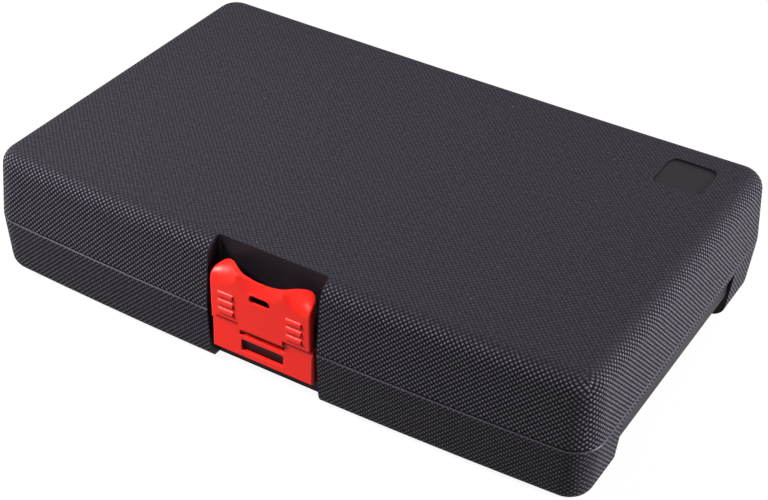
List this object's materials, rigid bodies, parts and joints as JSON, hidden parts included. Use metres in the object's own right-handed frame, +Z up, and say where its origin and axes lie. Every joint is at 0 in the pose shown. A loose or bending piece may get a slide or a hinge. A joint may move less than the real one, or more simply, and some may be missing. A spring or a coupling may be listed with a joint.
{
  "type": "hard tool case",
  "caption": "Flat hard-shell tool case with a hinged lid, a snap latch in a front pocket, finger recesses under its sides and a compartmented tool bed.",
  "frame": {"origin": "under the middle of the case, on the surface that it stands on", "axes": "+X to the right along the case's longest side, -Y to the latch at the front, +Z up"},
  "size_m": [0.3, 0.1966, 0.0633],
  "materials": {
    "base_shell": "black polypropylene with a moulded diamond grain",
    "tool_bed": "smooth satin black polypropylene",
    "latch_bracket": "red satin moulded plastic",
    "steel": "plain steel rod",
    "lid_shell": "black polypropylene with a moulded diamond grain",
    "lid_liner": "smooth satin black polypropylene",
    "latch_lever": "red satin moulded plastic"
  },
  "bodies": {
    "base": {"base_shell": "base_shell", "tool_bed": "tool_bed", "latch_bracket": "latch_bracket", "latch_pin": "steel", "hinge_pin_left": "steel", "hinge_pin_right": "steel"},
    "lid": {"lid_shell": "lid_shell", "lid_liner": "lid_liner"},
    "latch": {"latch_lever": "latch_lever"}
  },
  "joints": [
    {"name": "lid_hinge", "type": "hinge", "parent": "base", "child": "lid", "pos_m": [0, 0.095, 0.0295], "axis": [-1, 0, 0], "range_deg": [0, 160]},
    {"name": "latch_hinge", "type": "hinge", "parent": "base", "child": "latch", "pos_m": [0, -0.0941, 0.0273], "axis": [1, 0, 0], "range_deg": [0, 90]}
  ]
}
